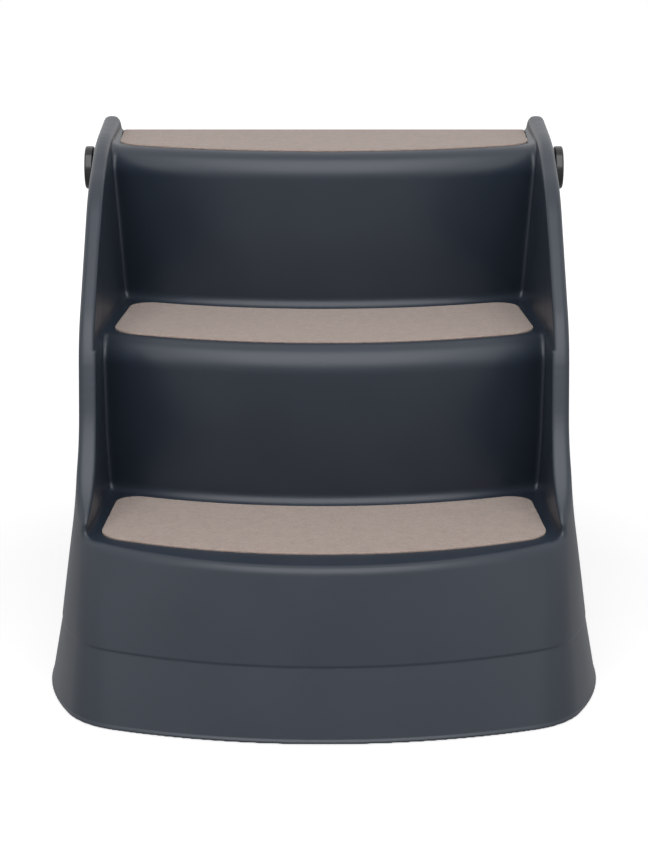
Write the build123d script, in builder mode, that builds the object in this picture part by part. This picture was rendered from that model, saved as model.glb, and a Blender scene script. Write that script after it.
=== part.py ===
from build123d import *

# Folding three-step pet stairs, in millimetres.
# The origin is on the floor, under the middle of the footprint. The steps face -Y, +X is to the right of
# someone who looks at them, and +Z is up. Heights are measured from the floor, distances behind the front
# edge of the skirt.

import os
from math import acos, asin, atan2, cos, degrees, hypot, sin, tan, radians

# Overall sizes
base_half_width = 260.0
rise = 157.5
going = 163.0
wall = 3.2
overrun = 5.0
selection_slack = 0.1

# Skirt, from the floor up to the rim of the lowest tread
foot_lift = 1.0
lip_height = 4.0
lip_reach = 2.0
band_height = 70.0
band_reach = 1.5
band_bevel = 2.0
skirt_flare = 25.7
rim_setback = 26.0
base_front_radius = 530.0
base_corner_radius = 75.0
base_side_radius = 280.0
rim_front_radius = 333.0
rim_corner_radius = 60.0
rim_side_radius = 120.0
rim_edge_radius = 6.5
side_arc_start = 65.0
upward_share = 0.1
blend_shares = (1, 0.75, 0.5, 0.25, 0)

# Side walls and rails
wall_step_in = 6.3
rail_width = 15.0
rail_top = 494.0
rear_margin = 5.0
rail_round = 6.5
rail_foot_run = 157.0
rail_shoulder_run = 190.0
rail_shoulder_height = 330.0
rail_knee_run = 317.0
rail_knee_height = 448.0
rail_crown_run = 407.0
rail_crown_height = 482.0
rail_foot_radius = 60.0
rail_round_start = 15.0
rail_shoulder_radius = 90.0
rail_knee_radius = 150.0
rail_crown_radius = 250.0
rail_rear_radius = 30.0
lobe_bottom = 385.0
lobe_front_run = 492.0
lobe_rear_radius = 12.0
lobe_front_radius = 40.0
cutaway_floor_run = 302.0
edge_flange = 10.0

# Inner side faces of the trough, at the tread and at the top of the riser behind it
lower_tread_front_spread = 13.0
lower_tread_rear_draft = 4.0
middle_tread_rear_draft = 9.5
upper_tread_rear_draft = 2.5
upper_trough_rear_draft = 1.0
lower_taper_start_run = 122.0
lower_taper_end_run = 262.0
middle_taper_start_run = 272.0
middle_taper_end_run = 417.0

# Risers and nosings, round about an upright axis of each step
first_nosing_run = 38.0
nosing_offset = 26.0
nosing_plan_radius = 480.0
nosing_radius = 26.0
riser_rake = 24.0
riser_foot_radius = 10.0
foot_reach = 20.0
rear_flange_height = 26.0
rear_opening_inset = 29.0
rib_depth = 12.0
rib_thickness = 2.4
rib_spacing = 70.0
rib_count = 5

# Felt pads in shallow recesses, on double-sided tape
pad_depth = 150.0
pad_thickness = 2.2
tape_thickness = 0.3
recess_depth = 1.0
recess_clearance = 0.5
lower_pad_front_radius = 415.0
lower_pad_front_margin = 7.0
lower_pad_rear_margin = 15.0
middle_pad_front_margin = 9.0
middle_pad_rear_margin = 20.0
upper_pad_front_margin = 7.0
upper_pad_rear_margin = 4.0
pad_front_corner = 34.0
pad_rear_corner = 20.0
upper_pad_rear_corner = 2.0
tape_inset = 3.0

# Hinge of the rear support
hinge_setback = 45.0
hinge_height = 440.0
boss_radius = 17.0
boss_depth = 24.0
bush_radius = 11.0
bush_flange_radius = 16.0
bush_flange = 1.5
fit_clearance = 0.05
running_clearance = 0.08
knob_radius = 22.0
knob_neck_radius = 19.5
knob_disc = 9.0
knob_reach = 18.0
knob_edge_round = 2.0
knob_dish_radius = 15.0
knob_dish_depth = 2.0
shaft_radius = 8.0
key_size = 11.0
key_length = 12.0
thrust_washer = 0.8
thrust_washer_radius = 15.0
screw_radius = 3.0
screw_length = 16.0
screw_head_radius = 5.5
screw_head_height = 3.4
screw_socket_radius = 2.4
screw_socket_depth = 2.0
steel_washer_radius = 9.0
steel_washer = 1.2

# Rear support, a moulded frame
support_spread = 75.0
leg_gap = 1.0
leg_thickness = 17.0
leg_front_offset = 10.0
leg_rear_offset = 25.0
beam_depth = 26.0
support_wall = 3.0
beam_edge_radius = 1.5
top_beam_start = 42.0
top_beam_height = 48.0
middle_beam_start = 215.0
middle_beam_height = 40.0
bottom_beam_height = 62.0
support_rib_spacing = 62.0
stop_gap = 0.3
stop_height = 20.0

# Rubber feet
foot_radius = 12.0
foot_thickness = 3.0
foot_stem_radius = 4.0
foot_stem_length = 9.0
foot_boss_radius = 15.5
foot_boss_height = 26.0
front_foot_inset = 92.0
front_foot_run = 48.0
side_foot_inset = 20.5
side_foot_run = 268.0
support_stem_radius = 3.0
support_foot_thickness = 5.0
support_foot_inset = 2.0

# Places worked out from the sizes
rail_rear = rim_setback + first_nosing_run + 2 * going + pad_depth + rear_margin
overall_depth = rail_rear + support_spread
front_y = -overall_depth / 2
rim_height = rise
rim_half_width = base_half_width - skirt_flare
wall_half_width = rim_half_width - wall_step_in
trough_half_width = wall_half_width - rail_width
lower_tread_front_half = trough_half_width + lower_tread_front_spread
lower_tread_rear_half = trough_half_width - lower_tread_rear_draft
middle_tread_rear_half = trough_half_width - middle_tread_rear_draft
upper_tread_rear_half = trough_half_width - upper_tread_rear_draft
upper_trough_rear_half = trough_half_width - upper_trough_rear_draft
rear_opening_half = trough_half_width - rear_opening_inset
boss_inner_face = wall_half_width - boss_depth
leg_outer_face = boss_inner_face - leg_gap
knob_face = wall_half_width + knob_reach
front_foot_half = base_half_width - front_foot_inset
side_foot_half = base_half_width - side_foot_inset
rim_y = front_y + rim_setback
hinge_y = front_y + rail_rear - hinge_setback
rail_rear_y = front_y + rail_rear
tread_heights = [rise * step for step in (1, 2, 3)]
pad_fronts = [rim_y + first_nosing_run + going * step for step in (0, 1, 2)]
nosing_fronts = [place - nosing_offset for place in pad_fronts]
knob_back = wall_half_width + bush_flange + 2 * fit_clearance
leg_inner_face = leg_outer_face - leg_thickness
reach_behind = overall_depth / 2 - hinge_y
hinge_drop = hinge_height - support_foot_thickness
lean = degrees(acos(leg_rear_offset / hypot(reach_behind, hinge_drop)) - atan2(hinge_drop, reach_behind))
tilt = radians(lean)
inner_wall_face = wall_half_width - wall
front_foot_y = front_y + front_foot_run
side_foot_y = front_y + side_foot_run
foot_places = [
    (-front_foot_half, front_foot_y),
    (front_foot_half, front_foot_y),
    (-side_foot_half, side_foot_y),
    (side_foot_half, side_foot_y),
]
rail_foot_turn = atan2(rail_shoulder_height - rise, rail_shoulder_run - rail_foot_run)
rail_start_y = front_y + rail_foot_run - rail_foot_radius * tan(rail_foot_turn / 2)


def leg_rear_at(height):
    """Where the rear edge of the open support's leg is at a height."""
    return hinge_y + leg_rear_offset / cos(tilt) + (hinge_height - height) * tan(tilt)


leg_foot_y = leg_rear_at(support_foot_thickness) - (leg_front_offset + leg_rear_offset) / cos(tilt) / 2
support_foot_places = [
    (side * (leg_outer_face - leg_thickness / 2), leg_foot_y) for side in (-1, 1)
]


def plan_outline(height, half_width, front, front_radius, corner_radius, side_radius, rear):
    """D-shaped outline at a height: a front arc, two corner arcs, two side arcs and straight sides."""
    side_share = sin(radians(side_arc_start))
    straight = half_width - corner_radius * side_share - side_radius * (1 - side_share)
    front_turn = degrees(asin(straight / (front_radius - corner_radius)))
    with BuildSketch(Plane.XY.offset(height)) as outline:
        with BuildLine():
            front_arc = JernArc((0, front), (1, 0), front_radius, front_turn)
            corner = JernArc(front_arc @ 1, front_arc % 1, corner_radius, side_arc_start - front_turn)
            side = JernArc(corner @ 1, corner % 1, side_radius, 90 - side_arc_start)
            Polyline(side @ 1, (half_width, rear), (0, rear))
            mirror(about=Plane.YZ)
        make_face()
    return outline.sketch


def skirt_outline(height, grow):
    """Outline of the leaning skirt at a height, moved outwards by grow."""
    share = height / rim_height
    floor_half = base_half_width - lip_reach - band_reach
    floor_front = front_y + lip_reach + band_reach
    return plan_outline(
        height,
        floor_half + (rim_half_width - floor_half) * share + grow,
        floor_front + (rim_y - floor_front) * share - grow,
        base_front_radius + (rim_front_radius - base_front_radius) * share + grow,
        base_corner_radius + (rim_corner_radius - base_corner_radius) * share + grow,
        base_side_radius + (rim_side_radius - base_side_radius) * share + grow,
        rail_rear_y,
    )


def wall_outline(turn_share, inset):
    """Outline above the rim, where the walls curve from the skirt's lean to upright as the share falls."""
    skirt_lean = atan2(base_half_width - lip_reach - band_reach - rim_half_width, rim_height)
    blend_radius = (rim_half_width - wall_half_width) / (1 - cos(skirt_lean))
    turn = skirt_lean * turn_share
    return plan_outline(
        rim_height + blend_radius * (sin(skirt_lean) - sin(turn)),
        wall_half_width + blend_radius * (1 - cos(turn)) - inset,
        rim_y + inset,
        rim_front_radius - inset,
        rim_corner_radius - inset,
        rim_side_radius - inset,
        rail_rear_y,
    )


def side_profile(inset):
    """Side view of the moulding: rail line over the top, lobe at the hinge and diagonal cutaway."""
    far_front = front_y - overrun
    rail_points = [
        (far_front, rim_height),
        (front_y + rail_foot_run, rim_height),
        (front_y + rail_shoulder_run, rail_shoulder_height),
        (front_y + rail_knee_run, rail_knee_height),
        (front_y + rail_crown_run, rail_crown_height),
        (rail_rear_y, rail_top),
        (rail_rear_y, lobe_bottom),
        (front_y + lobe_front_run, lobe_bottom),
        (front_y + cutaway_floor_run, 0),
    ]
    rounds = [
        rail_foot_radius,
        rail_shoulder_radius,
        rail_knee_radius,
        rail_crown_radius,
        rail_rear_radius,
        lobe_rear_radius,
        lobe_front_radius,
    ]
    floor = -overrun - inset if inset else foot_lift
    cutaway_slope = (cutaway_floor_run - lobe_front_run) / lobe_bottom
    rail_points[-1] = (front_y + cutaway_floor_run + cutaway_slope * -floor, floor)
    with BuildSketch(Plane.YZ) as profile:
        with BuildLine():
            rail = FilletPolyline(*rail_points, radius=rounds)
            Polyline(rail @ 1, (far_front, floor), rail @ 0)
        make_face()
        if inset:
            offset(amount=-inset)
    return profile.sketch


def envelope(inset):
    """Outer form of the moulding, or the form of its hollow where inset is the wall."""
    side_reach = base_half_width + overrun
    bottom = -overrun if inset else 0
    with BuildPart() as upper:
        loft([wall_outline(share, inset) for share in blend_shares], ruled=True)
        extrude(wall_outline(0, inset), amount=rail_top)
    with BuildPart() as skirt:
        loft([skirt_outline(bottom, -inset), skirt_outline(rim_height, -inset)])
    if inset:
        rim_front = skirt.part
    else:
        with BuildPart() as rounded:
            add(skirt.part)
            fillet(rounded.edges().group_by(Axis.Z)[-1], radius=rim_edge_radius)
            split(bisect_by=Plane.XZ.offset(-rail_start_y), keep=Keep.TOP)
        rim_front = rounded.part
    with BuildPart() as form:
        add(skirt.part)
        if not inset:
            split(bisect_by=Plane.XZ.offset(-rail_start_y), keep=Keep.BOTTOM)
        add(rim_front)
        add(upper.part)
        extrude(side_profile(inset), amount=side_reach, both=True, mode=Mode.INTERSECT)
        if not inset:
            fillet(rail_edges(form.part), radius=rail_round)
    return form.part


def rail_edges(form):
    """Outer top edges of the side walls above the foot of the rails."""
    floor = rim_height - selection_slack
    crests = form.faces().filter_by(
        lambda face: face.bounding_box().min.Z > floor and face.normal_at().Z > upward_share
    )
    edges = crests.edges() - crests.edges().filter_by(Axis.X)
    return edges.filter_by(lambda edge: edge.center().Z > rim_height + rail_round_start)


def skirt_trim():
    """Lower band of the skirt with its bevel, and the lip along the floor."""
    with BuildPart() as trim:
        loft([skirt_outline(0, band_reach), skirt_outline(rim_height, band_reach)])
        split(bisect_by=Plane.XY.offset(band_height), keep=Keep.BOTTOM)
        chamfer(trim.edges().group_by(Axis.Z)[-1], length=band_bevel)
        extrude(skirt_outline(0, band_reach + lip_reach), amount=foot_lift + lip_height)
        extrude(side_profile(0), amount=base_half_width + overrun, both=True, mode=Mode.INTERSECT)
    return trim.part


def trough(level, rows, top_halves, grow):
    """Space between the inner faces of the side walls over one tread, moved outwards by grow.

    Each row holds a distance behind the front and the half width there at the tread."""
    heights = (rise * level - grow, rise * (level + 1))
    sections = []
    for height, halves in zip(heights, ([half for _, half in rows], top_halves)):
        right = [(half + grow, front_y + run) for (run, _), half in zip(rows, halves)]
        left = [(-x, y) for x, y in reversed(right)]
        with BuildSketch(Plane.XY.offset(height)) as section:
            with BuildLine():
                Polyline(*right, *left, close=True)
            make_face()
        sections.append(section.sketch)
    with BuildPart() as space:
        loft(sections, ruled=True)
    return space.part


def round_step(level, shrink):
    """Riser with its nosing and foot, turned about the upright axis of the step, moved inwards by shrink."""
    nose = nosing_plan_radius - shrink
    foot = nosing_plan_radius - riser_rake - shrink
    floor = rise * level - shrink
    top = rise * (level + 1) - shrink
    axis_y = nosing_fronts[level] + nosing_plan_radius
    with BuildPart() as step:
        with BuildSketch(Plane.XZ.offset(-axis_y)):
            with BuildLine():
                front = FilletPolyline(
                    (foot + foot_reach, floor),
                    (foot, floor),
                    (nose, top),
                    (0, top),
                    radius=[riser_foot_radius + shrink, nosing_radius - shrink],
                )
                Polyline(front @ 1, (0, floor - overrun), (foot + foot_reach, floor - overrun), front @ 0)
            make_face()
        revolve(axis=Axis((0, axis_y, 0), (0, 0, 1)))
    return step.part


def air_above(grow):
    """Open space over each tread between the side walls, with the wall around it where grow is the wall."""
    far_front = -overrun
    far_rear = rail_rear + overrun
    straight = [trough_half_width] * 4
    lower_rows = [
        (far_front, base_half_width),
        (lower_taper_start_run, lower_tread_front_half),
        (lower_taper_end_run, lower_tread_rear_half),
        (far_rear, lower_tread_rear_half),
    ]
    middle_rows = [
        (far_front, trough_half_width),
        (middle_taper_start_run, trough_half_width),
        (middle_taper_end_run, middle_tread_rear_half),
        (far_rear, middle_tread_rear_half),
    ]
    upper_rows = [
        (far_front, trough_half_width),
        (middle_taper_end_run, trough_half_width),
        (rail_rear, upper_tread_rear_half),
        (far_rear, upper_tread_rear_half),
    ]
    upper_top = [trough_half_width, trough_half_width, upper_trough_rear_half, upper_trough_rear_half]
    with BuildPart() as lower:
        add(trough(1, lower_rows, straight, grow))
        add(round_step(1, grow), mode=Mode.SUBTRACT)
        # The middle tread ends under the riser that stands on it
        with Locations((0, nosing_fronts[2] + nosing_plan_radius, tread_heights[1])):
            Cylinder(nosing_plan_radius - riser_rake - wall, 2 * overrun, mode=Mode.SUBTRACT)
    with BuildPart() as middle:
        add(trough(2, middle_rows, straight, grow))
        add(round_step(2, grow), mode=Mode.SUBTRACT)
    return lower.part, middle.part, trough(3, upper_rows, upper_top, grow)


def pad_outline(height, front, front_radius, front_half, rear, rear_radius, rear_half, rear_corner, grow):
    """Outline of a tread pad, moved outwards by grow: curved front, corners rounded, rear edge to match."""
    front_corner_y = front + front_radius - (front_radius**2 - front_half**2) ** 0.5
    rear_corner_y = rear + rear_radius - (rear_radius**2 - rear_half**2) ** 0.5 if rear_radius else rear
    with BuildSketch(Plane.XY.offset(height)) as outline:
        with BuildLine():
            ThreePointArc((-front_half, front_corner_y), (0, front), (front_half, front_corner_y))
            Line((front_half, front_corner_y), (rear_half, rear_corner_y))
            if rear_radius:
                ThreePointArc((rear_half, rear_corner_y), (0, rear), (-rear_half, rear_corner_y))
            else:
                Line((rear_half, rear_corner_y), (-rear_half, rear_corner_y))
            Line((-rear_half, rear_corner_y), (-front_half, front_corner_y))
        make_face()
        corners = outline.vertices().group_by(Axis.Y)
        fillet(corners[0], radius=pad_front_corner)
        fillet(outline.vertices().group_by(Axis.Y)[-1], radius=rear_corner)
        if grow:
            offset(amount=grow)
    return outline.sketch


def pad_on(level, height, grow):
    """Outline of the pad on one tread, 0 being the lowest."""
    front = pad_fronts[level]
    rear = front + pad_depth
    front_radius = lower_pad_front_radius
    rear_radius = 0
    if level:
        front_radius = nosing_plan_radius - nosing_offset
    if level < 2:
        rear_radius = nosing_fronts[level + 1] + nosing_plan_radius - rear
    front_margins = (lower_pad_front_margin, middle_pad_front_margin, upper_pad_front_margin)
    rear_margins = (lower_pad_rear_margin, middle_pad_rear_margin, upper_pad_rear_margin)
    front_half = trough_half_width - front_margins[level]
    rear_half = trough_half_width - rear_margins[level]
    rear_corner = pad_rear_corner if rear_radius else upper_pad_rear_corner
    return pad_outline(
        height, front, front_radius, front_half, rear, rear_radius, rear_half, rear_corner, grow
    )


def rib_slabs():
    """Plates under each tread that the ribs are cut from."""
    with BuildPart() as slabs:
        for level in (0, 1, 2):
            rear = nosing_fronts[level + 1] if level < 2 else rail_rear_y
            front = nosing_fronts[level] if level else rim_y
            underside = tread_heights[level] - wall
            with Locations((0, (front + rear) / 2, underside - rib_depth / 2)):
                with GridLocations(rib_spacing, 0, rib_count, 1):
                    Box(rib_thickness, rear - front - wall, rib_depth + wall)
    return slabs.part


# Moulded stair shell: skin over a hollow that is open below and behind
outer_form = envelope(0)
with BuildPart() as hollow:
    add(envelope(wall))
    for space in air_above(wall):
        add(space, mode=Mode.SUBTRACT)
with BuildPart() as ribs:
    add(rib_slabs())
    add(hollow.part, mode=Mode.INTERSECT)
with BuildPart() as foot_bosses:
    for x, y in foot_places:
        with BuildSketch(Plane.XY.offset(foot_thickness)):
            with Locations((x, y)):
                Circle(foot_boss_radius)
        extrude(amount=foot_boss_height)
    add(outer_form, mode=Mode.INTERSECT)
with BuildPart() as stair_shell:
    add(outer_form)
    add(skirt_trim())
    for space in air_above(0):
        add(space, mode=Mode.SUBTRACT)
    add(hollow.part, mode=Mode.SUBTRACT)
    # Way out at the rear and along the cutaway, which leaves a narrow flange inside each side wall
    opening_half = inner_wall_face - edge_flange
    with BuildSketch(Plane.YZ):
        slope_run = lobe_front_run - cutaway_floor_run
        shift = (wall + foot_lift) * hypot(slope_run, lobe_bottom) / lobe_bottom
        top_run = lobe_front_run + slope_run * (wall + foot_lift) / lobe_bottom
        low_run = cutaway_floor_run - slope_run * overrun / lobe_bottom
        with BuildLine():
            Polyline(
                (front_y + low_run - shift, -overrun),
                (front_y + top_run - shift, lobe_bottom + wall + foot_lift),
                (rail_rear_y + overrun, lobe_bottom + wall + foot_lift),
                (rail_rear_y + overrun, -overrun),
                close=True,
            )
        make_face()
    extrude(amount=opening_half, both=True, mode=Mode.SUBTRACT)
    flange_bottom = tread_heights[2] - rear_flange_height
    with Locations((0, rail_rear_y, (lobe_bottom + flange_bottom) / 2)):
        Box(2 * rear_opening_half, 2 * lobe_rear_radius, flange_bottom - lobe_bottom, mode=Mode.SUBTRACT)
    add(ribs.part)
    # Recesses for the pads
    for level in (0, 1, 2):
        extrude(
            pad_on(level, tread_heights[level] - recess_depth, recess_clearance),
            amount=overrun,
            mode=Mode.SUBTRACT,
        )
    # Hinge bosses with their bores, and the stops for the rear support
    for side in (-1, 1):
        with BuildSketch(Plane.YZ.offset(side * boss_inner_face)):
            with Locations((hinge_y, hinge_height)):
                Circle(boss_radius)
        extrude(amount=side * (wall_half_width - wall / 2 - boss_inner_face))
        with BuildSketch(Plane.YZ.offset(side * (boss_inner_face - overrun))):
            with Locations((hinge_y, hinge_height)):
                Circle(bush_radius + fit_clearance)
        extrude(amount=side * (wall_half_width - boss_inner_face + 2 * overrun), mode=Mode.SUBTRACT)
    # Stops that the rear support leans on when it is open
    web_face = rail_rear_y - wall
    stop_floor = lobe_bottom + wall + foot_lift
    for side in (-1, 1):
        with BuildSketch(Plane.YZ.offset(side * leg_inner_face)):
            with BuildLine():
                Polyline(
                    (leg_rear_at(stop_floor) + stop_gap, stop_floor),
                    (leg_rear_at(stop_floor + stop_height) + stop_gap, stop_floor + stop_height),
                    (web_face + wall / 2, stop_floor + stop_height),
                    (web_face + wall / 2, stop_floor),
                    close=True,
                )
            make_face()
        extrude(amount=side * leg_thickness)
    # Bosses for the rubber feet, with the holes for their stems
    add(foot_bosses.part)
    for x, y in foot_places:
        with BuildSketch(Plane.XY):
            with Locations((x, y)):
                Circle(foot_radius + fit_clearance)
        extrude(amount=foot_thickness, mode=Mode.SUBTRACT)
        with BuildSketch(Plane.XY):
            with Locations((x, y)):
                Circle(foot_stem_radius + fit_clearance)
        extrude(amount=foot_thickness + foot_stem_length + fit_clearance, mode=Mode.SUBTRACT)

parts = {"stair_shell": stair_shell}

# Felt pads and the tape that holds them
for level, place in enumerate(("lower", "middle", "upper")):
    bed = tread_heights[level] - recess_depth
    with BuildPart() as tape:
        extrude(pad_on(level, bed, -tape_inset), amount=tape_thickness)
    parts[f"pad_tape_{place}"] = tape
    with BuildPart() as pad:
        extrude(pad_on(level, bed + tape_thickness, 0), amount=pad_thickness)
    parts[f"tread_pad_{place}"] = pad

# Rear support, a moulded frame of two legs and three beams, ribbed on the side that faces the rear
support_plane = Plane((0, hinge_y, hinge_height), x_dir=(1, 0, 0), z_dir=(0, cos(tilt), sin(tilt)))
leg_length = (hinge_height + leg_rear_offset) / cos(tilt)
leg_middle = leg_outer_face - leg_thickness / 2
bottom_beam_start = hinge_drop / cos(tilt) - bottom_beam_height - leg_rear_offset
beams = [
    (top_beam_start, top_beam_height),
    (middle_beam_start, middle_beam_height),
    (bottom_beam_start, bottom_beam_height),
]
front_skin = support_plane.offset(-leg_front_offset)
pocket_floor = support_plane.offset(support_wall - leg_front_offset)
leg_depth = leg_front_offset + leg_rear_offset
with BuildPart() as rear_support:
    with BuildSketch(front_skin):
        with Locations((-leg_middle, leg_length / 2), (leg_middle, leg_length / 2)):
            Rectangle(leg_thickness, leg_length)
    extrude(amount=leg_depth)
    with BuildSketch(front_skin):
        for start, height in beams:
            with Locations((0, start + height / 2)):
                Rectangle(2 * leg_middle, height)
    extrude(amount=beam_depth)
    fillet(
        rear_support.edges().filter_by(Axis.X).filter_by(lambda edge: edge.length > leg_inner_face),
        radius=beam_edge_radius,
    )
    for side in (-1, 1):
        with BuildSketch(Plane.YZ.offset(side * leg_inner_face)):
            with Locations((hinge_y, hinge_height)):
                Circle(leg_rear_offset)
        extrude(amount=side * leg_thickness)
    # Pockets between the ribs of each beam
    for start, height in beams:
        count = int(2 * leg_inner_face / support_rib_spacing)
        pitch = 2 * leg_inner_face / count
        with BuildSketch(pocket_floor):
            with Locations((0, start + height / 2)):
                with GridLocations(pitch, height, count, 1):
                    Rectangle(pitch - support_wall, height - 2 * support_wall)
        extrude(amount=leg_depth, mode=Mode.SUBTRACT)
    # Pockets in the legs, below the eye and above the foot
    pocket_start = leg_rear_offset + support_wall
    pocket_end = bottom_beam_start + bottom_beam_height
    leg_count = int((pocket_end - pocket_start) / support_rib_spacing)
    leg_pitch = (pocket_end - pocket_start) / leg_count
    with BuildSketch(pocket_floor):
        for side in (-1, 1):
            with Locations((side * leg_middle, (pocket_start + pocket_end) / 2)):
                with GridLocations(leg_thickness, leg_pitch, 1, leg_count):
                    Rectangle(leg_thickness - 2 * support_wall, leg_pitch - support_wall)
    extrude(amount=leg_depth, mode=Mode.SUBTRACT)
    # Level cut for the feet, with the holes for their stems
    with Locations((0, overall_depth / 2, support_foot_thickness - overall_depth / 2)):
        Box(2 * base_half_width, overall_depth, overall_depth, mode=Mode.SUBTRACT)
    for x, y in support_foot_places:
        with BuildSketch(Plane.XY.offset(support_foot_thickness - foot_lift)):
            with Locations((x, y)):
                Circle(support_stem_radius + fit_clearance)
        extrude(amount=foot_lift + foot_stem_length + fit_clearance, mode=Mode.SUBTRACT)
    # Square sockets for the knob shafts, and the holes for their screws
    for side in (-1, 1):
        with BuildSketch(Plane.YZ.offset(side * (leg_outer_face + fit_clearance))):
            with Locations((hinge_y, hinge_height)):
                Rectangle(key_size + 2 * fit_clearance, key_size + 2 * fit_clearance, rotation=lean)
        extrude(amount=-side * (key_length + 2 * fit_clearance), mode=Mode.SUBTRACT)
        with BuildSketch(Plane.YZ.offset(side * leg_outer_face)):
            with Locations((hinge_y, hinge_height)):
                Circle(screw_radius + running_clearance)
        extrude(amount=-side * (leg_thickness + fit_clearance), mode=Mode.SUBTRACT)
parts["rear_support"] = rear_support

# Hinge at each side: knob with its shaft, flanged bush, thrust washer, steel washer and screw
for side, place in ((-1, "left"), (1, "right")):
    turn_axis = Axis((0, hinge_y, hinge_height), (1, 0, 0))
    side_plane = Plane((0, hinge_y, hinge_height), x_dir=(side, 0, 0), z_dir=(0, -side, 0))
    knob_disc_back = knob_face - knob_disc
    shaft_end = leg_outer_face - key_length
    with BuildPart() as knob:
        with BuildSketch(side_plane):
            with BuildLine():
                Polyline(
                    (leg_outer_face, 0),
                    (knob_face - knob_dish_depth, 0),
                    (knob_face - knob_dish_depth, knob_dish_radius),
                    (knob_face, knob_dish_radius + knob_dish_depth),
                    (knob_face, knob_radius),
                    (knob_disc_back, knob_radius),
                    (knob_disc_back, knob_neck_radius),
                    (knob_back, knob_neck_radius),
                    (knob_back, shaft_radius),
                    (leg_outer_face, shaft_radius),
                    close=True,
                )
            make_face()
        revolve(axis=turn_axis)
        rims = knob.edges().filter_by(GeomType.CIRCLE)
        rims = rims.filter_by(lambda edge: abs(edge.radius - knob_radius) < fit_clearance)
        fillet(rims, radius=knob_edge_round)
        with BuildSketch(Plane.YZ.offset(side * leg_outer_face)):
            with Locations((hinge_y, hinge_height)):
                Rectangle(key_size, key_size, rotation=lean)
        extrude(amount=-side * key_length)
        with BuildSketch(Plane.YZ.offset(side * (shaft_end - overrun))):
            with Locations((hinge_y, hinge_height)):
                Circle(screw_radius + fit_clearance)
        extrude(amount=side * (screw_length + overrun), mode=Mode.SUBTRACT)
    parts[f"hinge_knob_{place}"] = knob

    flange_face = wall_half_width + fit_clearance
    with BuildPart() as bush:
        with BuildSketch(side_plane):
            with BuildLine():
                Polyline(
                    (boss_inner_face, shaft_radius + running_clearance),
                    (boss_inner_face, bush_radius),
                    (flange_face, bush_radius),
                    (flange_face, bush_flange_radius),
                    (flange_face + bush_flange, bush_flange_radius),
                    (flange_face + bush_flange, shaft_radius + running_clearance),
                    close=True,
                )
            make_face()
        revolve(axis=turn_axis)
    parts[f"hinge_bush_{place}"] = bush

    washer_start = leg_outer_face + fit_clearance
    with BuildPart() as thrust:
        with BuildSketch(Plane.YZ.offset(side * washer_start)):
            with Locations((hinge_y, hinge_height)):
                Circle(thrust_washer_radius)
                Circle(shaft_radius + running_clearance, mode=Mode.SUBTRACT)
        extrude(amount=side * thrust_washer)
    parts[f"thrust_washer_{place}"] = thrust

    with BuildPart() as washer:
        with BuildSketch(Plane.YZ.offset(side * leg_inner_face)):
            with Locations((hinge_y, hinge_height)):
                Circle(steel_washer_radius)
                Circle(screw_radius + running_clearance, mode=Mode.SUBTRACT)
        extrude(amount=-side * steel_washer)
    parts[f"screw_washer_{place}"] = washer

    head_seat = leg_inner_face - steel_washer
    with BuildPart() as screw:
        with BuildSketch(Plane.YZ.offset(side * head_seat)):
            with Locations((hinge_y, hinge_height)):
                Circle(screw_head_radius)
        extrude(amount=-side * screw_head_height)
        with BuildSketch(Plane.YZ.offset(side * head_seat)):
            with Locations((hinge_y, hinge_height)):
                Circle(screw_radius)
        extrude(amount=side * screw_length)
        with BuildSketch(Plane.YZ.offset(side * (head_seat - screw_head_height))):
            with Locations((hinge_y, hinge_height)):
                RegularPolygon(screw_socket_radius, 6)
        extrude(amount=side * screw_socket_depth, mode=Mode.SUBTRACT)
    parts[f"hinge_screw_{place}"] = screw

# Rubber feet, pushed into their bosses by a stem
foot_names = ("front_left", "front_right", "side_left", "side_right")
for (x, y), place in zip(foot_places, foot_names):
    with BuildPart() as foot:
        with BuildSketch():
            with Locations((x, y)):
                Circle(foot_radius)
        extrude(amount=foot_thickness)
        with BuildSketch(Plane.XY.offset(foot_thickness)):
            with Locations((x, y)):
                Circle(foot_stem_radius)
        extrude(amount=foot_stem_length)
    parts[f"foot_{place}"] = foot
for (x, y), place in zip(support_foot_places, ("left", "right")):
    with BuildPart() as foot:
        with BuildSketch():
            with Locations((x, y)):
                RectangleRounded(
                    leg_thickness - 2 * support_foot_inset,
                    leg_depth - 2 * support_foot_inset,
                    support_foot_inset,
                )
        extrude(amount=support_foot_thickness)
        with BuildSketch(Plane.XY.offset(support_foot_thickness)):
            with Locations((x, y)):
                Circle(support_stem_radius)
        extrude(amount=foot_stem_length)
    parts[f"support_foot_{place}"] = foot

os.makedirs("parts", exist_ok=True)
for name, piece in parts.items():
    piece.part.label = name
    export_step(piece.part, f"parts/{name}.step")
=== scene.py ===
from math import asin, atan2, cos, hypot, pi, radians, sin, tan

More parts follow.
